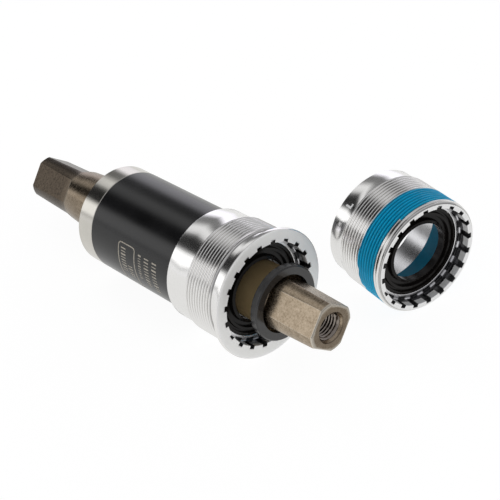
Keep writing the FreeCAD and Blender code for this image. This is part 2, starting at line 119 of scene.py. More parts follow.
def finish_of(name, colours, rough, metal, marks=0.0, rings=3000.0, bump=0.2, fine=4000.0,
              slow=120.0, place=None, specular=0.5, edge=None, shade_and_grime=None, drift=0.5):
    """Material whose colour drifts between two colours. Its roughness goes from rough[0] to
    rough[1] with the lathe marks and grain, which also raise its surface. Marked edges turn to
    the edge colour, a painted highlight with some wear, and marked places to the grime colour,
    mostly painted shade with some oil."""
    material = bpy.data.materials.new(name)
    material.use_nodes = True
    tree = material.node_tree
    shader = tree.nodes["Principled BSDF"]
    where = node(tree, "ShaderNodeTexCoord").outputs["Object"]
    if place is not None:
        where = node(tree, "ShaderNodeMapping",
                     {"Vector": where, "Location": place[0], "Rotation": place[1]},
                     vector_type="TEXTURE").outputs[0]
    turned = node(tree, "ShaderNodeGroup", node_tree=lathe_marks)
    tree.links.new(where, turned.inputs["Vector"])
    turned.inputs["Rings"].default_value = rings
    speckle = node(tree, "ShaderNodeGroup", node_tree=grain_effect)
    tree.links.new(where, speckle.inputs["Vector"])
    speckle.inputs["Fine"].default_value = fine
    speckle.inputs["Slow"].default_value = slow
    blend = node(tree, "ShaderNodeMix", {0: marks, 2: speckle.outputs["Grain"],
                                         3: turned.outputs["Marks"]}, data_type="FLOAT")
    mottle = node(tree, "ShaderNodeMix", {0: 1.0 - drift, 2: speckle.outputs["Drift"],
                                          3: blend.outputs[0]}, data_type="FLOAT")
    spread = node(tree, "ShaderNodeMapRange", {0: mottle.outputs[0], 1: 0.36, 2: 0.64})
    tint = node(tree, "ShaderNodeMix", {0: spread.outputs[0], 6: (*colours[0], 1.0),
                                        7: (*colours[1], 1.0)}, data_type="RGBA")
    colour = tint.outputs[2]
    roughness = node(tree, "ShaderNodeMapRange", {0: mottle.outputs[0], 1: 0.3, 2: 0.7,
                                                  3: rough[0], 4: rough[1]}).outputs[0]
    # Painted highlight, with some wear: marked edges are lightened to the edge colour.
    if edge is not None:
        edge_highlight_wear = node(tree, "ShaderNodeAttribute", attribute_name="edge_highlight_wear").outputs["Fac"]
        highlight_wear_noise = node(tree, "ShaderNodeMath", {0: blend.outputs[0], 1: 0.4, 2: edge_highlight_wear}, operation="MULTIPLY_ADD")
        highlight_wear = node(tree, "ShaderNodeMapRange", {0: highlight_wear_noise.outputs[0], 1: 0.55, 2: 1.0})
        colour = node(tree, "ShaderNodeMix", {0: highlight_wear.outputs[0], 6: colour, 7: (*edge, 1.0)},
                      data_type="RGBA").outputs[2]
    # Painted shade, with some oil in the cups' mouths: marked places are darkened to the grime colour.
    if shade_and_grime is not None:
        shade_and_grime_amount = node(tree, "ShaderNodeAttribute", attribute_name="shade_and_grime").outputs["Fac"]
        uneven = node(tree, "ShaderNodeMapRange", {0: speckle.outputs["Grain"], 1: 0.3, 2: 0.7,
                                                   3: 0.85, 4: 1.1})
        shade_and_grime_mix = node(tree, "ShaderNodeMath", {0: shade_and_grime_amount, 1: uneven.outputs[0]}, operation="MULTIPLY",
                    use_clamp=True)
        colour = node(tree, "ShaderNodeMix", {0: shade_and_grime_mix.outputs[0], 6: colour, 7: (*shade_and_grime, 1.0)},
                      data_type="RGBA").outputs[2]
    raised = node(tree, "ShaderNodeBump", {"Strength": bump, "Distance": 0.00003,
                                           "Height": blend.outputs[0]})
    tree.links.new(colour, shader.inputs["Base Color"])
    tree.links.new(roughness, shader.inputs["Roughness"])
    tree.links.new(raised.outputs[0], shader.inputs["Normal"])
    shader.inputs["Metallic"].default_value = metal
    shader.inputs["Specular IOR Level"].default_value = specular
    return material


def skin(name, grid, body, finishes, finish_rows=None, loop=True, tips=None, edge_highlight_wear=None,
         shade_and_grime=None, crease=32):
    """Mesh through a grid of points in mm: rows follow the profile, columns go round the axis
    and join up. loop joins the last row to the first; tips are two points that close the ends
    with fans instead. If the volume it encloses comes out negative, every face is turned over."""
    rows, cols = grid.shape[:2]
    points = grid.reshape(-1, 3)
    index = np.arange(rows * cols).reshape(rows, cols)
    near = index if loop else index[:-1]
    far = np.roll(index, -1, 0) if loop else index[1:]
    quads = np.stack([near, np.roll(near, -1, 1), np.roll(far, -1, 1), far], -1).reshape(-1, 4)
    fans = np.zeros((0, 3), int)
    if tips is not None:
        points = np.vstack([points, np.array(tips, float)])
        first, last = index[0], index[-1]
        start = np.stack([np.roll(first, -1), first, np.full(cols, rows * cols)], -1)
        end = np.stack([last, np.roll(last, -1), np.full(cols, rows * cols + 1)], -1)
        fans = np.vstack([start, end])
    a, b, c, d = (points[quads[:, k]] for k in range(4))
    volume = (np.cross(a, b) * c).sum() + (np.cross(a, c) * d).sum()
    if len(fans):
        volume += (np.cross(points[fans[:, 0]], points[fans[:, 1]]) * points[fans[:, 2]]).sum()
    if volume < 0:
        quads, fans = quads[:, ::-1], fans[:, ::-1]
    mesh = bpy.data.meshes.new(name)
    mesh.vertices.add(len(points))
    mesh.vertices.foreach_set("co", (points * MM).astype(np.float32).ravel())
    corners = np.concatenate([quads.ravel(), fans.ravel()])
    mesh.loops.add(len(corners))
    mesh.loops.foreach_set("vertex_index", corners.astype(np.int32))
    sizes = np.concatenate([np.full(len(quads), 4), np.full(len(fans), 3)])
    mesh.polygons.add(len(sizes))
    mesh.polygons.foreach_set("loop_start", (np.cumsum(sizes) - sizes).astype(np.int32))
    for material in finishes:
        mesh.materials.append(material)
    if finish_rows is not None:
        which = np.zeros(len(sizes), np.int32)
        which[:len(quads)] = np.repeat(np.asarray(finish_rows)[:len(quads) // cols], cols)
        mesh.polygons.foreach_set("material_index", which)
    mesh.update(calc_edges=True)
    mesh.validate()
    mesh.shade_smooth()
    mesh.set_sharp_from_angle(angle=math.radians(crease))
    # Point attributes: marked edges for the painted highlight, marked places for the painted shade.
    for label, amount in (("edge_highlight_wear", edge_highlight_wear), ("shade_and_grime", shade_and_grime)):
        if amount is not None:
            value = np.zeros(len(points), np.float32)
            value[:rows * cols] = amount.ravel() if amount.ndim == 2 else np.repeat(amount, cols)
            mesh.attributes.new(label, "FLOAT", "POINT").data.foreach_set("value", value)
    piece = bpy.data.objects.new(name, mesh)
    bpy.context.scene.collection.objects.link(piece)
    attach(piece, body)
    return piece


def spline_columns(clocking):
    """Angles of a cup's columns in degrees, and 1 for each column that runs down a slot. The
    last column in a slot and the first on a tooth are so placed that the wall between them is
    parallel to the slot's middle."""
    in_slot = math.degrees(math.asin(SLOT_WIDTH / 2 / SLOT_R))
    on_tooth = math.degrees(math.asin(SLOT_WIDTH / 2 / TOOTH_R))
    pitch = 360 / TEETH
    slot = np.linspace(-in_slot, in_slot, 5)
    land = np.linspace(on_tooth, pitch - on_tooth, 11)
    one = np.concatenate([slot, land])
    angles = clocking + pitch * np.arange(TEETH)[:, None] + one[None]
    return angles.ravel(), np.tile(np.concatenate([np.ones(5), np.zeros(11)]), TEETH)


def thread_radius(depth, angle, hand):
    """Thread form: s is the fraction of a turn, depth / pitch + hand * angle / 360. The radius
    falls from the crest to the root with the distance of s from one half, crest and root being
    slightly flat. hand is 1 for a right-hand thread and -1 for a left-hand one."""
    s = np.mod(depth / PITCH + hand * angle / 360, 1.0)
    fall = np.clip((np.abs(2 * s - 1) - 0.16) / 0.70, 0, 1)
    return CREST - (CREST - ROOT) * (0.6 * fall + 0.4 * fall * fall * (3 - 2 * fall))


def round_y(depth, radius, angle, front):
    """Points at a distance along Y, a radius and an angle from +X towards +Z, in degrees."""
    turn = np.radians(angle)
    return np.stack([radius * np.cos(turn), front + depth, radius * np.sin(turn)], -1)


# Mouth common to both cups, from behind the web to the front face: depth on a tooth, depth
# in a slot, radius on a tooth, radius in a slot, finish, 1 where an edge gets a painted
# highlight with some wear, and how much painted shade, with some oil, darkens the broached
# metal on a tooth and in a slot.
MOUTH = np.array([
    [5.10, 5.10, 13.80, 13.80, 1, 0, 0.4, 0.4], [4.00, 4.00, 13.80, 13.80, 1, 1, 0, 0],
    [3.90, 3.90, 13.90, 13.90, 1, 1, 0, 0], [3.90, 3.90, 14.35, 14.35, 1, 0, 0, 0],
    [3.90, 3.90, 14.45, 14.45, 1, 0, 0.95, 0.1], [3.90, 3.90, 15.12, 15.12, 1, 0, 0.95, 0],
    [3.82, 3.82, 15.20, 15.20, 1, 0, 0.95, 0], [3.52, 3.52, 15.20, 15.20, 1, 0, 0.95, 0.1],
    [3.46, 3.50, 15.20, 16.10, 1, 0, 0.95, 0.85], [2.30, 2.30, 15.20, 16.10, 1, 0, 0.95, 0.88],
    [2.10, 2.18, 15.20, 16.10, 2, 0, 0.05, 0.92], [1.90, 1.90, 15.20, 16.10, 2, 0, 0, 1],
    [0.10, 0.05, 15.20, 16.10, 2, 1, 0, 1], [0.00, 0.00, 15.29, 16.13, 2, 1, 0, 0.3]])


def cup_grid(back_rows, outside_rows, thread_span, hand, clocking, limit, teeth_shade):
    """Rows of a cup: the bore, the mouth, the outside up to the thread, the thread and what is
    behind it. limit gives the largest radius the thread may have at a depth. The bottom of the
    thread is darkened as painted shade, and the last argument is how much painted shade, with
    some old grease, darkens the teeth's tops deep in the mouth."""
    angles, in_slot = spline_columns(clocking)
    back = np.array(back_rows, float)
    outside = np.array(outside_rows[0], float)
    behind = np.array(outside_rows[1], float)
    turns = np.arange(thread_span[0], thread_span[1], PITCH / 14)
    clean = np.zeros((1, 2))
    plain = np.vstack([np.hstack([back, np.repeat(clean, len(back), 0)]), MOUTH,
                       np.hstack([outside, np.repeat(clean, len(outside), 0)])])
    depth = plain[:, 0:1] + (plain[:, 1:2] - plain[:, 0:1]) * in_slot
    radius = plain[:, 2:3] + (plain[:, 3:4] - plain[:, 2:3]) * in_slot
    cut = np.minimum(thread_radius(turns[:, None], angles[None], hand), limit(turns)[:, None])
    last = np.ones(len(angles))
    depth = np.vstack([depth, turns[:, None] * last, behind[:, 0:1] * last])
    radius = np.vstack([radius, cut, behind[:, 2:3] * last])
    finishes = np.concatenate([plain[:, 4], np.zeros(len(turns)), behind[:, 4]])
    # Painted highlight, with some wear, on the marked edges of each row.
    edge_highlight_wear = np.concatenate([plain[:, 5], np.zeros(len(turns)), behind[:, 5]])
    shade_and_grime = np.zeros(depth.shape)
    wall_top = np.maximum(np.roll(in_slot, 1), np.roll(in_slot, -1))
    beside_slot = np.where(plain[:, 0:1] > 0.02, np.maximum(in_slot, wall_top), in_slot)
    # Painted shade, with some oil, in the slots and deep in the mouth.
    shade_and_grime[:len(plain)] = plain[:, 6:7] + (plain[:, 7:8] - plain[:, 6:7]) * beside_slot
    # Painted shade, with some old grease, on the teeth's tops deep in the mouth.
    deep_tooth_tops = (plain[:, 0:1] > 0.3) & (plain[:, 0:1] < 3.6) & (plain[:, 2:3] < 15.3)
    shade_and_grime[:len(plain)] = np.maximum(shade_and_grime[:len(plain)], teeth_shade * deep_tooth_tops)
    # Painted shade in the bottom of the thread.
    shade_and_grime[len(plain):len(plain) + len(turns)] = 0.75 * np.clip(1 - (cut - ROOT) / 0.35, 0, 1)
    return depth, radius, angles, finishes, edge_highlight_wear, shade_and_grime


def alloy_finishes(side, place=None):
    """The three finishes of a cup: turned and polished, broached, and blasted."""
    # Each edge colour is a painted highlight with some wear, and each grime colour painted shade: in the
    # thread's valleys for the turned metal, and with some oil in the mouth for the broached and blasted
    # metal.
    polished = finish_of(side + "_turned_aluminium", ((0.82, 0.81, 0.80), (0.90, 0.895, 0.885)),
                         (0.13, 0.20), 1.0, marks=0.97, rings=1900.0, bump=0.06, drift=0.3, place=place,
                         shade_and_grime=(0.16, 0.155, 0.15))
    broached = finish_of(side + "_broached_aluminium", ((0.66, 0.66, 0.68), (0.86, 0.86, 0.88)),
                         (0.22, 0.34), 1.0, marks=0.3, rings=2500.0, bump=0.15, place=place,
                         edge=(0.95, 0.95, 0.96), shade_and_grime=(0.012, 0.012, 0.014))
    blasted = finish_of(side + "_blasted_aluminium", ((0.91, 0.91, 0.90), (0.99, 0.99, 0.98)),
                        (0.45, 0.60), 0.35, marks=0.15, bump=0.30, fine=5200.0, place=place,
                        edge=(0.97, 0.97, 0.97), shade_and_grime=(0.012, 0.012, 0.014))
    return [polished, broached, blasted]


depth, radius, angles, finishes, edge_highlight_wear, shade_and_grime = cup_grid(
    [[23.70, 23.70, 15.20, 15.20, 0, 0], [14.00, 14.00, 15.20, 15.20, 0, 0],
     [5.12, 5.12, 15.20, 15.20, 1, 0]],
    ([[0.00, 0.00, 16.60, 16.60, 2, 0], [0.00, 0.00, 17.70, 17.70, 2, 0],
      [0.00, 0.00, 18.85, 18.85, 0, 1], [0.09, 0.09, 19.02, 19.02, 0, 1],
      [0.25, 0.25, 19.10, 19.10, 0, 1], [0.70, 0.70, 19.10, 19.10, 0, 0],
      [1.08, 1.08, 19.10, 19.10, 0, 1], [1.20, 1.20, 18.98, 18.98, 0, 0],
      [1.20, 1.20, 17.60, 17.60, 0, 0], [1.20, 1.20, 16.82, 16.82, 0, 0],
      [1.32, 1.32, 16.70, 16.70, 0, 0], [4.80, 4.80, 16.70, 16.70, 0, 0]],
     [[15.55, 15.55, ROOT, ROOT, 0, 0], [19.00, 19.00, ROOT, ROOT, 0, 0],
      [23.45, 23.45, ROOT, ROOT, 0, 1], [23.52, 23.52, 16.73, 16.73, 0, 1],
      [23.68, 23.68, 16.57, 16.57, 0, 0], [23.70, 23.70, 16.40, 16.40, 0, 0]]),
    (4.90, 15.50), -1, 4.0, lambda d: np.minimum(16.70 + (d - 4.9), ROOT + (15.5 - d)), 0.93)
drive_cup = skin("drive_cup_turned", round_y(depth, radius, angles[None], FLANGE_Y), "cartridge",
                 alloy_finishes("drive"), finishes, edge_highlight_wear=edge_highlight_wear, shade_and_grime=shade_and_grime)
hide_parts("drive_cup")

# ---------------------------------------------------------------------------
# Cartridge sleeve: drawn steel tube with a satin black coating, pressed into the
# drive cup. It carries the bearings, and a printed panel runs round its far side.
# ---------------------------------------------------------------------------
SLEEVE_R = 15.4
sleeve_black = finish_of("satin_black_coat", ((0.0045, 0.0045, 0.005), (0.008, 0.008, 0.009)),
                         (0.20, 0.28), 0.0, marks=0.2, rings=900.0, bump=0.08, fine=2600.0,
                         slow=90.0, specular=0.48)


def dressed(name, finish):
    """Gives a piece that keeps its own mesh its finish."""
    nodes[name].data.materials.clear()
    nodes[name].data.materials.append(finish)


dressed("cartridge_sleeve", sleeve_black)


def printed(name, strokes, radius, body, finish, raise_by=0.02, lay=None):
    """Ink strokes on a barrel, each a path of (distance round, distance along Y) points in mm
    with a width. A stroke is a strip of four-cornered cross-sections, across its own direction;
    a closed path joins up, and an open one is closed at both ends."""
    parts, faces, base = [], [], 0
    for path, width, closed in strokes:
        path = np.array(path, float)
        if closed:
            ahead = np.roll(path, -1, 0) - np.roll(path, 1, 0)
        else:
            ahead = np.gradient(path, axis=0)
        ahead /= np.linalg.norm(ahead, axis=1)[:, None]
        across = np.stack([-ahead[:, 1], ahead[:, 0]], -1) * width / 2
        corners = np.stack([path + across, path - across, path - across, path + across], 1)
        height = np.array([0.0, 0.0, 1.0, 1.0]) * raise_by * 1.5 - raise_by * 0.5
        angle = corners[..., 0] / radius
        out = (radius + height)[None]
        parts.append(np.stack([out * np.cos(angle), corners[..., 1], out * np.sin(angle)],
                              -1).reshape(-1, 3))
        n = len(path)
        ring = base + np.arange(n * 4).reshape(n, 4)
        near, far = (ring, np.roll(ring, -1, 0)) if closed else (ring[:-1], ring[1:])
        faces.append(np.stack([near, far, np.roll(far, -1, 1), np.roll(near, -1, 1)],
                              -1).reshape(-1, 4))
        if not closed:
            faces.append(np.stack([ring[0], ring[-1][::-1]]))
        base += n * 4
    points = np.vstack(parts)
    if lay is not None:
        points = lay(points)
    mesh = bpy.data.meshes.new(name)
    mesh.from_pydata((points * MM).tolist(), [], np.vstack(faces).tolist())
    mesh.materials.append(finish)
    mesh.validate()
    piece = bpy.data.objects.new(name, mesh)
    bpy.context.scene.collection.objects.link(piece)
    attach(piece, body)
    return piece


def straight(round_from, round_to, y_from, y_to, width, radius, steps=6):
    """A straight stroke between two places, given as angles in degrees and Y."""
    s = np.radians(np.linspace(round_from, round_to, steps)) * radius
    return np.stack([s, np.linspace(y_from, y_to, steps)], -1), width, False


def tally(start, y_low, y_high, widths, gap, radius):
    """A row of plain upright bars, of the given widths, one after another round the barrel."""
    widths = np.array(widths, float)
    middle = np.cumsum(widths + gap) - widths / 2
    places = start + np.degrees(middle / radius)
    return [straight(p, p, y_low, y_high, w, radius) for p, w in zip(places, widths)]


# The panel's frame: an outline with four rounded corners, drawn as one closed path, with
# rows of plain bars inside it and beside it.
low, high, near_edge, far_edge, corner = 4.9, 12.2, 157.2, 214.0, 1.1
bend = np.radians(np.linspace(0, 90, 7))
arc = np.radians([near_edge, far_edge]) * SLEEVE_R
turns_of_path = []
corners = ((arc[1] - corner, high - corner, 0), (arc[0] + corner, high - corner, 90),
           (arc[0] + corner, low + corner, 180), (arc[1] - corner, low + corner, 270))
for centre_s, centre_y, first in corners:
    swing = bend + math.radians(first)
    turns_of_path.append(np.stack([centre_s + corner * np.cos(swing),
                                   centre_y + corner * np.sin(swing)], -1))
panel = []
for k in range(4):
    panel.append(turns_of_path[k])
    ahead = turns_of_path[(k + 1) % 4][0]
    panel.append(np.linspace(turns_of_path[k][-1], ahead, 26)[1:-1])
strokes = [(np.vstack(panel), 0.34, True)]
strokes += tally(160.0, 8.9, 11.0, [0.40, 0.25, 0.50, 0.25, 0.30, 0.25, 0.45, 0.30, 0.25], 0.62,
                 SLEEVE_R)
strokes += tally(179.0, 6.2, 8.2, [0.30, 0.45, 0.25, 0.40, 0.25], 0.60, SLEEVE_R)
strokes += tally(158.7, -5.1, -3.1, [0.45, 0.25, 0.55, 0.25, 0.40, 0.25, 0.35, 0.50, 0.25, 0.40], 0.70,
                 SLEEVE_R)
strokes += tally(158.7, -1.6, 0.4, [0.35, 0.40, 0.25, 0.45, 0.25, 0.35, 0.25, 0.45, 0.30, 0.25], 0.66,
                 SLEEVE_R)
strokes += tally(158.7, 1.9, 3.1, [0.55, 0.20, 0.25, 0.20, 0.35, 0.20, 0.25, 0.30, 0.20, 0.35], 0.55,
                 SLEEVE_R)
ink = finish_of("panel_ink", ((0.30, 0.27, 0.22), (0.52, 0.48, 0.41)), (0.35, 0.55), 0.3,
                marks=0.0, bump=0.2, fine=3000.0)
printed("sleeve_print", strokes, SLEEVE_R, "cartridge", ink)

# ---------------------------------------------------------------------------
# Left end ring: polished steel ring pressed into the sleeve's far end. It holds
# the left bearing, and the loose cup slides over it.
# ---------------------------------------------------------------------------
ring_steel = finish_of("polished_ring_steel", ((0.56, 0.54, 0.50), (0.68, 0.66, 0.61)),
                       (0.12, 0.20), 1.0, marks=0.95, rings=3000.0, bump=0.10, drift=0.3)
dressed("left_end_ring", ring_steel)

# ---------------------------------------------------------------------------
# Spindle: forged and hardened steel, ground on the bearing seats. Each end is a
# square taper with rounded corners for a crank arm, and is drilled and tapped
# for the bolt that holds the arm. The square runs out into the round.
# ---------------------------------------------------------------------------
DRIVE_END, LEFT_END = -59.2, 68.3
SPINDLE_R, FLAT_HALF, TAPER_ANGLE, TAPER_LENGTH = 8.5, 6.3, 2.0, 17.8
BOLT_R, BOLT_MINOR_R, BOLT_PITCH, BOLT_DEPTH, DRILL_POINT = 4.0, 3.42, 1.0, 20.0, 2.2


def bolt_rows():
    """Depths of a tapped hole's rows from its bottom to the mouth, twelve to a pitch, and the radius
    of the 60 degree cone that opens it. end_rows swings the thread's radius between the minor
    and the major radius once a pitch."""
    depths = np.arange(BOLT_DEPTH, 0.0, -BOLT_PITCH / 12)
    cone = 4.55 - depths * math.tan(math.radians(30))
    return depths, cone


def taper_rows():
    """Rows from an end inwards: distance, corner radius and half the width across flats."""
    far = np.array([0.0, 0.28, 0.45, 3.0, 6.0, 9.0, 12.0, 15.0, TAPER_LENGTH])
    corner = np.interp(far, [0.0, 0.45, TAPER_LENGTH], [7.0, 7.45, 7.85])
    flat_half = FLAT_HALF + far * math.tan(math.radians(TAPER_ANGLE))
    flat_half[0] -= 0.26
    return far, corner, flat_half


def square_columns(corner, flat_half, flats_at=53.0):
    """Angles and radii of one row: each flat lies between the angles where it meets the corner
    radius, acos(half width / corner radius) either side of its middle, and arcs join the flats."""
    ratio = np.clip(flat_half / corner, 0.0, 0.9995)
    reach = np.degrees(np.arccos(ratio))[:, None]
    across = np.array([-1.0, -0.95, -0.6, -0.3, 0.0, 0.3, 0.6, 0.95, 1.0])[None] * reach
    round_it = np.array([0.06, 0.18, 0.34, 0.5, 0.66, 0.82, 0.94])[None]
    over_corner = reach + (90 - 2 * reach) * round_it
    quarter = np.hstack([across, over_corner])
    angle = np.concatenate([quarter + 90 * k for k in range(4)], axis=1) + flats_at
    local = np.concatenate([quarter] * 4, axis=1)
    on_flat = np.abs(local) <= reach + 1e-9
    radius = np.where(on_flat, flat_half[:, None] / np.cos(np.radians(local)), corner[:, None])
    return angle, np.minimum(radius, corner[:, None])


def end_rows(end_y, inward, runout, flare):
    """One end of the spindle from the bottom of its bolt hole out and back to the round. Past
    the taper the flats rise to the round within runout, as lift to the power of 1.6, and the
    corners within flare."""
    far, corner, flat_half = taper_rows()
    steps = np.linspace(0, 1, 7)[1:]
    far = np.concatenate([far, TAPER_LENGTH + steps * runout,
                          [TAPER_LENGTH + runout + 0.1, TAPER_LENGTH + flare + runout]])
    edge = np.interp(far, [0.0, 0.45, TAPER_LENGTH, TAPER_LENGTH + flare], [7.0, 7.45, 7.85, SPINDLE_R])
    lift = np.clip((far - TAPER_LENGTH) / runout, 0, None)
    flat_half = np.concatenate([flat_half, 6.92 + (8.6 - 6.92) * lift[9:] ** 1.6])
    angle, radius = square_columns(edge, np.minimum(flat_half, edge))
    y = np.repeat(end_y + inward * far[:, None], angle.shape[1], 1)
    depths, cone = bolt_rows()
    first = np.repeat(angle[:1], len(depths), 0)
    s = np.mod(depths[:, None] / BOLT_PITCH + first / 360, 1.0)
    swing = np.clip((np.abs(2 * s - 1) - 0.1) / 0.8, 0, 1)
    hole = np.maximum(BOLT_MINOR_R + (BOLT_R - BOLT_MINOR_R) * swing, cone[:, None])
    bore_y = np.repeat(end_y + inward * depths[:, None], angle.shape[1], 1)
    face = np.array([4.55, 5.0, 5.7])[:, None] * np.ones(angle.shape[1])
    face_y = np.full(face.shape, end_y)
    return (np.vstack([bore_y, face_y, y]), np.vstack([hole, face, radius]),
            np.vstack([first, np.repeat(angle[:1], 3, 0), angle]), len(depths))


near_y, near_r, near_a, bored = end_rows(DRIVE_END, 1, 1.5, 1.2)
far_y, far_r, far_a, _ = end_rows(LEFT_END, -1, 1.9, 4.5)
middle = np.array([[-28.9, SPINDLE_R], [-21.95, SPINDLE_R], [-21.9, 8.55], [-21.9, 9.6], [0.0, 9.6],
                   [23.3, 9.6], [23.3, 8.55], [23.35, SPINDLE_R], [30.3, SPINDLE_R], [40.0, SPINDLE_R]])
cols = near_a.shape[1]
spindle_y = np.vstack([near_y, np.repeat(middle[:, :1], cols, 1), far_y[::-1]])
spindle_r = np.vstack([near_r, np.repeat(middle[:, 1:], cols, 1), far_r[::-1]])
spindle_a = np.vstack([near_a, np.repeat(near_a[-1:], len(middle), 0), far_a[::-1]])
# Its edge colour is a painted highlight on the taper's edges; its grime colour is painted shade at the left
# end, and darkens both end faces.
ground_steel = finish_of("ground_brown_steel", ((0.25, 0.195, 0.135), (0.46, 0.375, 0.28)), (0.22, 0.32),
                         1.0, marks=0.1, rings=2600.0, bump=0.20, fine=1700.0, slow=420.0, drift=0.25,
                         edge=(0.64, 0.59, 0.51), shade_and_grime=(0.045, 0.034, 0.025))
seat_steel = finish_of("ground_seat_steel", ((0.30, 0.215, 0.105), (0.42, 0.31, 0.16)), (0.28, 0.40),
                       0.45, marks=0.9, rings=2200.0, bump=0.10, drift=0.3)
tapped_steel = finish_of("tapped_steel", ((0.22, 0.19, 0.165), (0.34, 0.30, 0.27)), (0.10, 0.18), 1.0,
                         marks=0.5, rings=3000.0, bump=0.15)
rows = len(spindle_y)
tapped = bored - 12

# Finish by row: 1 in a tapped hole, 2 on the bearing seat seen in the drive cup's mouth. The
# left end is darkened as painted shade, standing for a dark reflection, and both end faces
# are darker. The taper's edges and end chamfers get a painted highlight.
in_hole = np.zeros(rows)
in_hole[:tapped] = 1
in_hole[rows - tapped - 1:] = 1
in_hole[(spindle_y[:, 0] > -40.4) & (spindle_y[:, 0] < -20.0) & (spindle_r[:, 0] > 8.4)] = 2
# Painted shade towards the left end, standing for a dark reflection.
shade_and_darkening = np.clip((spindle_y - 49.6) / 1.2, 0, 1) * 0.55 + np.clip((spindle_y - 30.0) / 8.0, 0, 1) * 0.38
# The near end face and the mouth of its hole are darker too.
shade_and_darkening[bored - 3:bored + 3] = 0.55
shade_and_darkening[bored + 3] = 0.35
# Painted highlight along the flats' edges and round both end chamfers.
edge_highlight = np.zeros((rows, cols))
flat_edges = np.isin(np.arange(cols) % (cols // 4), (0, 8))
edge_highlight[bored + 5:bored + 12] = 0.62 * flat_edges
edge_highlight[rows - bored - 12:rows - bored - 5] = 0.45 * flat_edges
edge_highlight[bored + 3:bored + 5] = 1
edge_highlight[rows - bored - 5:rows - bored - 3] = 1
spindle = skin("spindle_forged", round_y(spindle_y, spindle_r, spindle_a, 0.0), "spindle_group",
               [ground_steel, tapped_steel, seat_steel], in_hole, loop=False,
               tips=[(0, DRIVE_END + BOLT_DEPTH + DRILL_POINT, 0),
                     (0, LEFT_END - BOLT_DEPTH - DRILL_POINT, 0)],
               edge_highlight_wear=edge_highlight, shade_and_grime=shade_and_darkening, crease=14)
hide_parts("spindle")

# ---------------------------------------------------------------------------
# Collar: black moulded plastic ring pushed along the round of the spindle. It
# turns with the spindle and keeps water off the drive-side dust cover.
# ---------------------------------------------------------------------------
collar_plastic = finish_of("collar_plastic", ((0.010, 0.0095, 0.010), (0.020, 0.019, 0.020)), (0.16, 0.26),
                           0.0, marks=0.3, rings=1500.0, bump=0.15, fine=2600.0, specular=0.7)
dressed("spindle_collar", collar_plastic)

# ---------------------------------------------------------------------------
# Loose left cup: turned from the same aluminium. It has a right-hand thread, no
# flange, and a plain lead that slides over the end ring. It lies beside the unit
# on its thread, turned a little outwards.
# ---------------------------------------------------------------------------
FLANGE_R, RIM_DROP, RIM_SPAN = 19.1, 3.7, 67.1
YAW = math.radians(8.5)
REST = math.atan(RIM_DROP / RIM_SPAN)
PITCH_UP = math.atan(math.tan(REST) * math.cos(YAW))
CUP_X, CUP_Y = 42.4, -54.7
CUP_Z = (CREST + math.sin(REST) * (CUP_Y - FLANGE_Y)) / math.cos(REST) - FLANGE_R
CUP_AT = (CUP_X, CUP_Y, CUP_Z)
beside = (tuple(v * MM for v in CUP_AT), (PITCH_UP, 0.0, -YAW))
BAND = (2.6, 9.35)


def lay_beside(points):
    """Cup points, front face at y = 0, tipped up about X, turned outwards about Z and set down."""
    tip = np.array([[1, 0, 0], [0, math.cos(PITCH_UP), -math.sin(PITCH_UP)],
                    [0, math.sin(PITCH_UP), math.cos(PITCH_UP)]])
    swing = np.array([[math.cos(YAW), math.sin(YAW), 0], [-math.sin(YAW), math.cos(YAW), 0], [0, 0, 1]])
    return points @ (swing @ tip).T + np.array(CUP_AT)


depth, radius, angles, finishes, edge_highlight_wear, shade_and_grime = cup_grid(
    [[23.10, 23.10, 15.60, 15.60, 1, 0], [14.00, 14.00, 15.60, 15.60, 1, 0],
     [5.12, 5.12, 15.60, 15.60, 1, 0]],
    ([[0.00, 0.00, 16.40, 16.40, 2, 1], [0.00, 0.00, 16.64, 16.64, 0, 1]],
     [[17.90, 17.90, ROOT, ROOT, 0, 0], [20.00, 20.00, ROOT, ROOT, 0, 0],
      [22.85, 22.85, ROOT, ROOT, 0, 1], [22.92, 22.92, 16.73, 16.73, 0, 1],
      [23.08, 23.08, 16.57, 16.57, 0, 0], [23.10, 23.10, 16.40, 16.40, 0, 0]]),
    (0.02, 17.84), 1, 1.2, lambda d: np.minimum(16.649 + d, ROOT + (17.85 - d)), 0.0)
under_band = (depth > BAND[0] - 0.9) & (depth < BAND[1] + 0.3) & (radius > ROOT - 0.01)
radius = np.where(under_band, radius - 0.03, radius)
left_cup = skin("left_cup_turned", lay_beside(round_y(depth, radius, angles[None], 0.0)),
                "loose_left_cup", alloy_finishes("left", beside), finishes, edge_highlight_wear=edge_highlight_wear,
                shade_and_grime=shade_and_grime)
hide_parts("left_cup")

# ---------------------------------------------------------------------------
# Thread-lock band: a dry blue compound brushed onto the left cup's thread, which
# keeps it from working loose. It follows the ridges and has slightly uneven ends.
# ---------------------------------------------------------------------------
angles, _ = spline_columns(1.2)
sway = np.radians(angles)
ragged = 0.10 * np.sin(5 * sway) + 0.06 * np.sin(13 * sway + 1.0) + 0.03 * np.sin(29 * sway)
wider = np.clip((117.0 - angles) / 1.5, 0, 1) * np.clip((angles - 20.0) / 40.0, 0, 1)
start = BAND[0] - 0.75 * wider + 0.5 * ragged
stop = BAND[1] + ragged
steps = np.arange(BAND[0] - 0.9, BAND[1] + 0.25, PITCH / 14)[:, None]
order = np.arange(len(steps))[:, None] * 0.0004
band_depth = np.minimum(np.maximum(steps, start + order), stop + order)
band_radius = np.minimum(thread_radius(band_depth, angles[None], 1) + 0.03, CREST)
buried = np.full(len(angles), ROOT - 0.12)
band_depth = np.vstack([start - 0.01, band_depth, stop + 0.06])
band_radius = np.vstack([buried, band_radius, buried])
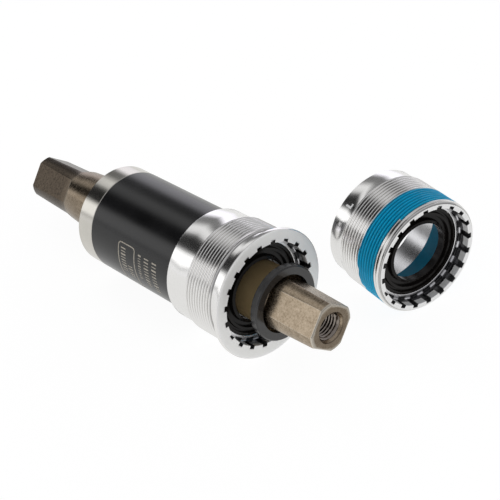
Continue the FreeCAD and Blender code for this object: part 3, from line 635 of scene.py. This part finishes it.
# Its grime colour is painted shade in the valleys between the ridges.
blue = finish_of("thread_lock_blue", ((0.0, 0.420, 0.700), (0.0, 0.520, 0.860)), (0.34, 0.46), 0.0,
                 marks=0.2, rings=3000.0, bump=0.2, fine=1800.0, slow=200.0, place=beside, specular=0.25,
                 shade_and_grime=(0.0, 0.090, 0.190))
# Painted shade darkens the coat in the thread's valleys.
band = skin("thread_lock_coat", lay_beside(round_y(band_depth, band_radius, angles[None], 0.0)),
            "loose_left_cup", [blue],
            shade_and_grime=0.9 * np.clip(1 - (band_radius - ROOT) / 0.45, 0, 1))
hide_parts("left_thread_lock_band")

# ---------------------------------------------------------------------------
# Inner band: the same compound inside the cup's bore, thinner, and darker as painted shade
# inside the bore. It grips the end ring once the cup is home.
# ---------------------------------------------------------------------------
# Painted shade: a darker copy of the blue for the compound inside the bore.
shaded_inner_blue = finish_of("inner_lock_blue_shaded", ((0.0, 0.135, 0.230), (0.0, 0.210, 0.340)), (0.35, 0.50), 0.0,
                   marks=0.5, rings=1500.0, bump=0.25, fine=1800.0, place=beside, specular=0.2)
dressed("left_inner_band", shaded_inner_blue)

# ---------------------------------------------------------------------------
# Side mark: a plain L for the left side and a short tick beside it, cut into the
# loose cup's lead. They are drawn plain white, a painted highlight where the cuts catch the light.
# ---------------------------------------------------------------------------
# Painted highlight: the marks are plain white where the cuts catch the light.
glinting_mark = finish_of("cut_mark", ((0.93, 0.93, 0.93), (1.0, 1.0, 1.0)), (0.5, 0.6), 0.0, bump=0.2,
                 place=beside)
LEAD_R = 16.755
letter = [straight(133.2, 133.2, 19.1, 21.4, 0.62, LEAD_R), straight(128.9, 134.2, 19.4, 19.4, 0.62, LEAD_R)]
letter += [straight(150.8, 154.2, 20.4, 20.4, 0.62, LEAD_R)]
printed("left_side_mark", letter, LEAD_R, "loose_left_cup", glinting_mark, 0.012, lay_beside)

# ---------------------------------------------------------------------------
# Dust covers: black plastic pressed behind each cup's web. Concentric ridges
# stiffen them, and a thin raised lip runs close round the spindle.
# ---------------------------------------------------------------------------
for name, place in (("drive_dust_cover", None), ("left_dust_cover", beside)):
    cover = finish_of(name + "_plastic", ((0.005, 0.004, 0.0038), (0.013, 0.011, 0.010)), (0.14, 0.24), 0.0,
                      marks=0.5, rings=1800.0, bump=0.12, fine=2200.0, place=place, specular=0.16)
    dressed(name, cover)

# ---------------------------------------------------------------------------
# Bearings: two sealed ball bearings, ground chrome steel with a moulded cage and
# rubber seals. They sit inside the sleeve and the end ring.
# ---------------------------------------------------------------------------
race_steel = finish_of("ground_race_steel", ((0.55, 0.55, 0.56), (0.72, 0.72, 0.73)), (0.08, 0.18), 1.0,
                       marks=0.9, rings=5000.0, bump=0.15)
ball_steel = finish_of("lapped_ball_steel", ((0.68, 0.68, 0.69), (0.78, 0.78, 0.79)), (0.03, 0.07), 1.0,
                       marks=0.0, bump=0.02)
cage_plastic = finish_of("cage_plastic", ((0.30, 0.20, 0.09), (0.42, 0.30, 0.15)), (0.45, 0.6), 0.0, bump=0.3)
seal_rubber = finish_of("seal_rubber", ((0.012, 0.012, 0.012), (0.025, 0.025, 0.025)), (0.5, 0.7), 0.0,
                        marks=0.4, rings=1500.0, bump=0.3)
for side in ("drive_", "left_"):
    dressed(side + "outer_race", race_steel)
    dressed(side + "inner_race", race_steel)
    dressed(side + "balls", ball_steel)
    dressed(side + "cage", cage_plastic)
    dressed(side + "outboard_seal", seal_rubber)
    dressed(side + "inboard_seal", seal_rubber)

# ---------------------------------------------------------------------------
# Floor and light: a white sheet that the flange rim and the end ring stand on. It
# slopes under the parts and is level beyond them. Two dark panels hang overhead in
# a white room, for the metal to mirror.
# ---------------------------------------------------------------------------
SHEET_HALF, SLOPE_HALF, BELOW_RIM = 1500, 90, 0.02
across = np.array([-SHEET_HALF, -SLOPE_HALF, SLOPE_HALF, SHEET_HALF])
rise = (np.clip(across, -SLOPE_HALF, SLOPE_HALF) - FLANGE_Y) * RIM_DROP / RIM_SPAN
heights = rise - FLANGE_R - BELOW_RIM
sheet_x, sheet_y = np.meshgrid(across, across)
sheet = np.stack([sheet_x, sheet_y, np.repeat(heights[:, None], 4, 1)], -1)
floor_mesh = bpy.data.meshes.new("floor")
index = np.arange(16).reshape(4, 4)
tiles = np.stack([index[:-1, :-1], index[:-1, 1:], index[1:, 1:], index[1:, :-1]], -1).reshape(-1, 4)
floor_mesh.from_pydata((sheet.reshape(-1, 3) * MM).tolist(), [], tiles.tolist())
floor = bpy.data.objects.new("floor", floor_mesh)
bpy.context.scene.collection.objects.link(floor)
paper = bpy.data.materials.new("white_sheet")
paper.use_nodes = True
paper_shader = paper.node_tree.nodes["Principled BSDF"]
paper_shader.inputs["Base Color"].default_value = (0.12, 0.12, 0.12, 1)
paper_shader.inputs["Roughness"].default_value = 0.9
paper_shader.inputs["Specular IOR Level"].default_value = 0.0
paper_shader.inputs["Emission Strength"].default_value = 1.0
faced = node(paper.node_tree, "ShaderNodeLightPath").outputs["Is Camera Ray"]
glow = node(paper.node_tree, "ShaderNodeMix", {0: faced, 6: (0.80, 0.80, 0.79, 1), 7: (0.94, 0.94, 0.94, 1)},
            data_type="RGBA")
paper.node_tree.links.new(glow.outputs[2], paper_shader.inputs["Emission Color"])
floor_mesh.materials.append(paper)

world = bpy.data.worlds.new("room")
bpy.context.scene.world = world
world.use_nodes = True
tree = world.node_tree
backdrop = tree.nodes["Background"]
direction = node(tree, "ShaderNodeTexCoord").outputs["Generated"]
axes = node(tree, "ShaderNodeSeparateXYZ", {0: direction})
round_axis = node(tree, "ShaderNodeMath", {0: axes.outputs["Z"], 1: axes.outputs["X"]}, operation="ARCTAN2")
share = node(tree, "ShaderNodeMapRange", {0: round_axis.outputs[0], 1: 0.0, 2: math.pi})
panels = node(tree, "ShaderNodeValToRGB", {0: share.outputs[0]})
# brightness of the room round the Y axis, by angle from +X up towards +Z
stops = [(0, 1.1), (28, 1.3), (42, 0.16), (60, 0.20), (76, 0.90), (90, 0.75), (99, 0.09), (107, 0.02),
         (130, 0.02), (141, 1.30), (163, 1.25), (169, 0.5), (174, 0.9), (180, 0.9)]
ramp = panels.color_ramp
while len(ramp.elements) < len(stops):
    ramp.elements.new(0.5)
for element, (angle, level) in zip(ramp.elements, stops):
    element.position = angle / 180
    element.color = (level, level * 0.985, level * 1.05, 1) if angle < 38 else (level, level, level, 1)
behind = node(tree, "ShaderNodeMapRange", {0: axes.outputs["Y"], 1: -0.15, 2: 0.25})
room = node(tree, "ShaderNodeMix", {0: behind.outputs[0], 6: (0.50, 0.50, 0.51, 1), 7: panels.outputs[0]},
            data_type="RGBA")
seen = node(tree, "ShaderNodeLightPath").outputs["Is Camera Ray"]
shown = node(tree, "ShaderNodeMix", {0: seen, 6: room.outputs[2], 7: (1, 1, 1, 1)}, data_type="RGBA")
tree.links.new(shown.outputs[2], backdrop.inputs["Color"])
backdrop.inputs["Strength"].default_value = 1.0
bpy.context.scene.view_settings.view_transform = "Standard"
